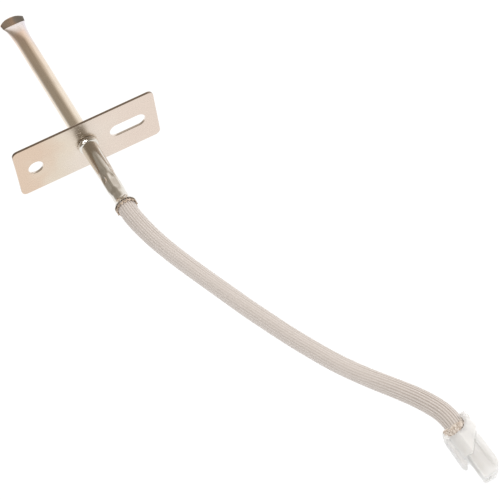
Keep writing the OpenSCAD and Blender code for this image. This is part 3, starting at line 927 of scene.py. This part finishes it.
# ---------------------------------------------------------------- connector
def block(outline, low, high, soft, axis="Z"):
    """A prism with rounded edges: an outline extruded from low to high along an axis."""
    work = bmesh.new()
    bottom = [work.verts.new((x, y, low)) for x, y in outline]
    top = [work.verts.new((x, y, high)) for x, y in outline]
    count = len(outline)
    work.faces.new(list(reversed(bottom)))
    work.faces.new(top)
    for k in range(count):
        work.faces.new((bottom[k], bottom[(k + 1) % count], top[(k + 1) % count], top[k]))
    bmesh.ops.recalc_face_normals(work, faces=work.faces)
    if soft:
        bmesh.ops.bevel(
            work, geom=list(work.edges), offset=soft, segments=3, profile=0.5,
            affect="EDGES", clamp_overlap=True,
        )
    mesh = bpy.data.meshes.new("block")
    if axis == "X":
        work.transform(Matrix(((0, 0, 1, 0), (1, 0, 0, 0), (0, 1, 0, 0), (0, 0, 0, 1))))
    work.to_mesh(mesh)
    work.free()
    made = bpy.data.objects.new("block", mesh)
    bpy.context.scene.collection.objects.link(made)
    return made


def rectangle(x0, x1, y0, y1):
    """Four corners, in order round the outline."""
    return [(x0, y0), (x1, y0), (x1, y1), (x0, y1)]


def rod(start, end, r, side):
    """A round bar along the connector at the height of its axis."""
    circle = [
        (side + r * math.cos(a), AXIS_H + r * math.sin(a))
        for a in np.linspace(0, 2 * math.pi, 40, endpoint=False)
    ]
    return block(circle, start, end, 0, "X")


def carve(target, operation, *tools):
    """Cuts the tools from the target, joins them to it, or keeps what they share."""
    for tool in tools:
        modifier = target.modifiers.new("carve", "BOOLEAN")
        modifier.operation = operation
        modifier.solver = "EXACT"
        modifier.object = tool
    dg = bpy.context.evaluated_depsgraph_get()
    bpy.context.view_layer.update()
    mesh = bpy.data.meshes.new_from_object(target.evaluated_get(dg))
    target.modifiers.clear()
    old = target.data
    target.data = mesh
    bpy.data.meshes.remove(old)
    for tool in tools:
        bpy.data.objects.remove(tool)
    return target


# BEHIND is a plane behind the housing, where the blocks that open it start;
# the hood's front runs slanting from HOOD_SHORT to HOOD_LONG
BEHIND = 3.0
HOOD_W, HOOD_H = 9.9, 8.7
HOOD_SHORT, HOOD_LONG = 10.6, 17.6
REAR_RIGHT, REAR_LEFT, HOOD_REAR = 3.9, 4.7, 7.0
NOSE_START = 10.1
WALL_T = 1.35
CHEEK_TOP = 4.0
NOSE_LEFT, NOSE_RIGHT, NOSE_H = -3.15, 4.45, 5.2
TERMINAL = 1.7
WIRE_BORE, CONTACT_BORE = 0.95, 1.3
ROOT_START, ROOT_END = 7.5, 9.15
LATCH_START, LATCH_END, LATCH_HALF = 9.3, 20.9, 2.0


def make_housing(material):
    """Hood and trough as one block with a sloping left face, opened at the rear; then the nose."""
    half = HOOD_W / 2
    inner = half - WALL_T
    outline = [
        (REAR_RIGHT, -half), (HOOD_LONG, -half), (HOOD_LONG + 1.2, -1.6),
        (HOOD_SHORT, half), (REAR_RIGHT, half),
    ]
    profile = [
        (-half, 0), (half, 0), (half, HOOD_H - 0.5), (half - 0.5, HOOD_H), (-1.6, HOOD_H),
        (-half, HOOD_H - 3.2),
    ]
    body = block(outline, 0, HOOD_H, 0)
    body = carve(body, "INTERSECT", block(profile, REAR_RIGHT - 1, HOOD_LONG + 2, 0, "X"))
    lip_low = HOOD_H - LIP_T
    curve = arc(*CHANNEL, 90, -90, 29)
    low_curve = [(x, y) for x, y in curve if y > -inner]
    channel = [
        (BEHIND, -inner), (BEHIND, curve[0][1]), *low_curve, (low_curve[-1][0] + 0.1, -inner)
    ]
    upper = arc(*MOUTH, 90, -90, 29)
    outside = -half - 1
    mouth = [(BEHIND, outside), (BEHIND, upper[0][1]), *upper, (MOUTH[0], outside)]
    body = carve(
        body, "DIFFERENCE",
        block(channel, 1.0, lip_low, 0),
        block(mouth, CHEEK_TOP, HOOD_H + 1, 0),
        block(rectangle(BEHIND, HOOD_REAR, outside, inner - 0.2), CHEEK_TOP, lip_low, 0),
        block(rectangle(BEHIND, HOOD_REAR, outside, upper[0][1]), CHEEK_TOP, HOOD_H + 1, 0),
        block(rectangle(BEHIND, REAR_LEFT, outside, inner), -1, lip_low, 0),
    )
    low, high = AXIS_H - NOSE_H / 2, AXIS_H + NOSE_H / 2
    tip = CONN_LEN + 0.2
    nose = block(
        [
            (NOSE_START, NOSE_LEFT), (tip - 0.6, NOSE_LEFT), (tip, NOSE_LEFT + 0.6),
            (tip - 0.3, NOSE_RIGHT - 2.9), (tip - 3.4, NOSE_RIGHT), (NOSE_START, NOSE_RIGHT),
        ],
        low, high, 0.4,
    )
    root = rectangle(ROOT_START, ROOT_END, -half - 1.25, -half + 0.3)
    root = block(root, AXIS_H - LATCH_HALF, AXIS_H + LATCH_HALF, 0)
    body = carve(body, "UNION", nose, root)
    cuts = []
    for side in (-TERMINAL, TERMINAL):
        cuts.append(rod(HOOD_REAR, 12.6, WIRE_BORE, side))
        cuts.append(rod(12.2, CONN_LEN + 1, CONTACT_BORE, side))
    groove = rectangle(12.5, CONN_LEN + 1, TERMINAL - 0.4, TERMINAL + 0.4)
    cuts.append(block(groove, high - 0.25, high + 1, 0))
    body = carve(body, "DIFFERENCE", *cuts)
    soften_edges(body, 0.24)
    body.name = "connector_body"
    body.data.transform(Matrix.Scale(MM, 4))
    body.data.transform(CONN_FRAME)
    return finish_piece(body, material, ["connector_housing"], angle=32)


def soften_edges(target, width):
    """Rounds a carved body's edges, as in a moulding."""
    weld(target.data, 1e-3)
    modifier = target.modifiers.new("round", "BEVEL")
    modifier.width = width
    modifier.segments = 3
    modifier.limit_method = "ANGLE"
    modifier.angle_limit = math.radians(32)
    modifier.use_clamp_overlap = True
    bpy.context.view_layer.update()
    dg = bpy.context.evaluated_depsgraph_get()
    mesh = bpy.data.meshes.new_from_object(target.evaluated_get(dg))
    target.modifiers.clear()
    target.data = mesh


def make_latch(material):
    """The arm from its root forwards, with a catch inside its end."""
    inner = -HOOD_W / 2 - 0.15
    end = LATCH_END
    outline = [
        (LATCH_START, inner), (LATCH_START, inner - 1.1), (end - 1, inner - 1.4), (end, inner - 0.6),
        (end, inner), (end - 0.8, inner + 0.45), (end - 2, inner + 0.45), (end - 2, inner),
    ]
    arm = block(outline, AXIS_H - LATCH_HALF, AXIS_H + LATCH_HALF, 0.14)
    arm.name = "latch_tongue"
    arm.data.transform(Matrix.Scale(MM, 4))
    arm.data.transform(CONN_FRAME)
    return finish_piece(arm, material, ["latch_arm"], body="latch", angle=32)


# ================================================================ stage
def make_stage():
    """Pale floor: white round the part, and grey further off to the left, which the steel mirrors."""
    material, g = new_material("pale floor")
    where = g.place()
    paper = g.noise(where, 900, 2, 0.5)
    across = g.node(
        "ShaderNodeVectorMath", {0: where, 1: (-0.90, 0.43, 0.0)}, operation="DOT_PRODUCT"
    ).outputs["Value"]
    g.surface(
        Base_Color=g.ramp(paper, (0.0, (0.09, 0.09, 0.09)), (1.0, (0.11, 0.11, 0.11))),
        Roughness=0.9, Specular_IOR_Level=0.0,
        Emission_Color=(1, 1, 1, 1), Emission_Strength=g.spread(across, 0.038, 0.085, 0.97, 0.42),
    )
    mesh = bpy.data.meshes.new("floor")
    reach = 1.6
    corners = [(x, y, FLOOR_Z) for x, y in rectangle(-reach, reach, -reach, reach)]
    mesh.from_pydata(corners, [], [(0, 1, 2, 3)])
    mesh.materials.append(material)
    floor = bpy.data.objects.new("floor", mesh)
    bpy.context.scene.collection.objects.link(floor)


def make_world():
    """White room with a dim, warm ceiling that reaches lower on the left: the steel mirrors it."""
    world = bpy.data.worlds.new("studio")
    bpy.context.scene.world = world
    world.use_nodes = True
    g = Graph(world.node_tree)
    where = g.node("ShaderNodeTexCoord", {}).outputs["Generated"]
    lean = g.node(
        "ShaderNodeVectorMath", {0: where, 1: (-1.0, -0.8, 0.8)}, operation="DOT_PRODUCT"
    ).outputs["Value"]
    colour = g.ramp(
        g.math("MULTIPLY_ADD", lean, 0.5, 0.5),
        (0.04, (1.04, 1.02, 1.0)),
        (0.28, (0.78, 0.73, 0.67)),
        (0.44, (0.48, 0.43, 0.37)),
        (0.58, (0.325, 0.285, 0.235)),
        (0.70, (0.375, 0.34, 0.29)),
        (0.82, (0.29, 0.255, 0.21)),
    )
    back = g.node("ShaderNodeBackground", {"Color": colour, "Strength": 1.0})
    g.node("ShaderNodeOutputWorld", {"Surface": back.outputs[0]})


def make_light(name, place, size, power, colour, mirror=None):
    """A round lamp aimed at the part: it lights the matt pieces, or is seen in one piece of steel."""
    data = bpy.data.lights.new(name, "AREA")
    data.shape = "DISK"
    data.size = size
    data.energy = power
    data.color = colour
    lamp = bpy.data.objects.new(name, data)
    lamp.location = place
    lamp.visible_glossy = mirror is not None
    lamp.visible_diffuse = mirror is None
    lamp.visible_transmission = mirror is None
    if mirror is not None:
        data.cycles.max_bounces = 0
        shiny = bpy.data.collections.new(name)
        shiny.objects.link(mirror)
        lamp.light_linking.receiver_collection = shiny
    lamp.rotation_mode = "QUATERNION"
    target = Vector((0.03, -0.06, 0))
    lamp.rotation_quaternion = (target - Vector(place)).to_track_quat("-Z", "Y")
    bpy.context.scene.collection.objects.link(lamp)


# ================================================================ assembly
make_camera()
bpy.context.scene.view_settings.view_transform = "Standard"
make_world()
make_light("key", (1.0, -0.15, 1.1), 0.7, 6, (1, 0.985, 0.985))
MAIN_LAMP = (-0.56, -0.48, 1.42)
make_light("main", MAIN_LAMP, 0.42, 11, (1, 0.985, 0.985))
make_stage()

steel = drawn_steel()
knit = knitted_glass(
    "knitted glass fibre", (0.445, 0.39, 0.35), (0.785, 0.74, 0.715), (0.70, 0.655, 0.615)
)
tan = knitted_glass("scorched yarn", (0.30, 0.23, 0.16), (0.86, 0.72, 0.60), (0.66, 0.51, 0.39))
fray = knitted_glass("frayed yarn", (0.46, 0.36, 0.28), (0.97, 0.91, 0.85), (0.88, 0.77, 0.67))
# the housing's nylon glows a little: painted light
milk = nylon("natural nylon", (0.89, 0.90, 0.905), 0.9, 0.08)
# painted shade: a darker copy of the natural nylon, glowing less, for the latch arm
nylon_shaded_copy = nylon("natural nylon, shaded copy", (0.86, 0.87, 0.875), 0.9, 0.03)

sleeve, centreline = make_sleeve(knit)
hem = make_hem(tan)
tail = make_fray(fray)
sheath = make_tube(steel)
make_light("glint", MAIN_LAMP, 0.5, 7, (1, 1, 1), sheath)
make_plate(plate_steel())
housing = make_housing(milk)
latch = make_latch(nylon_shaded_copy)

CERAMIC = speckled("fired alumina", (0.78, 0.75, 0.69), (0.90, 0.88, 0.83), 5000, 0.55)
POWDER = speckled("packed magnesia", (0.70, 0.67, 0.60), (0.86, 0.84, 0.78), 9000, 0.85, depth=0.5)
LEAD = speckled("nickel wire", (0.62, 0.61, 0.60), (0.75, 0.75, 0.74), 8000, 0.25, 1.0, (1, 0.02, 1))
BRASS = speckled("tinned brass", (0.60, 0.48, 0.24), (0.78, 0.66, 0.38), 4000, 0.25, 1.0)
COPPER = speckled("plated strand", (0.55, 0.40, 0.26), (0.74, 0.60, 0.44), 6000, 0.3, 1.0, (1, 0.1, 1))
GLASS_TUBE = speckled("coated glass tube", (0.70, 0.64, 0.50), (0.86, 0.82, 0.70), 6000, 0.6)
BRAID = speckled("braided insulation", (0.66, 0.62, 0.54), (0.88, 0.85, 0.78), 5200, 0.75, depth=0.6)
FINISH = {
    "rtd_element": CERAMIC, "magnesia_fill": POWDER,
    "front_insulator": CERAMIC, "rear_insulator": CERAMIC,
    "element_lead_a": LEAD, "element_lead_b": LEAD,
    "splice_ferrule_a": BRASS, "splice_ferrule_b": BRASS,
    "splice_sleeve_a": GLASS_TUBE, "splice_sleeve_b": GLASS_TUBE,
    "sleeve_grip": BRAID,
    "wire_insulation_a": BRAID, "wire_insulation_b": BRAID,
    "wire_core_a": COPPER, "wire_core_b": COPPER,
    "terminal_a": BRASS, "terminal_b": BRASS,
}
for name, material in FINISH.items():
    node = frame["nodes"][name]
    node.data.materials.clear()
    node.data.materials.append(material)
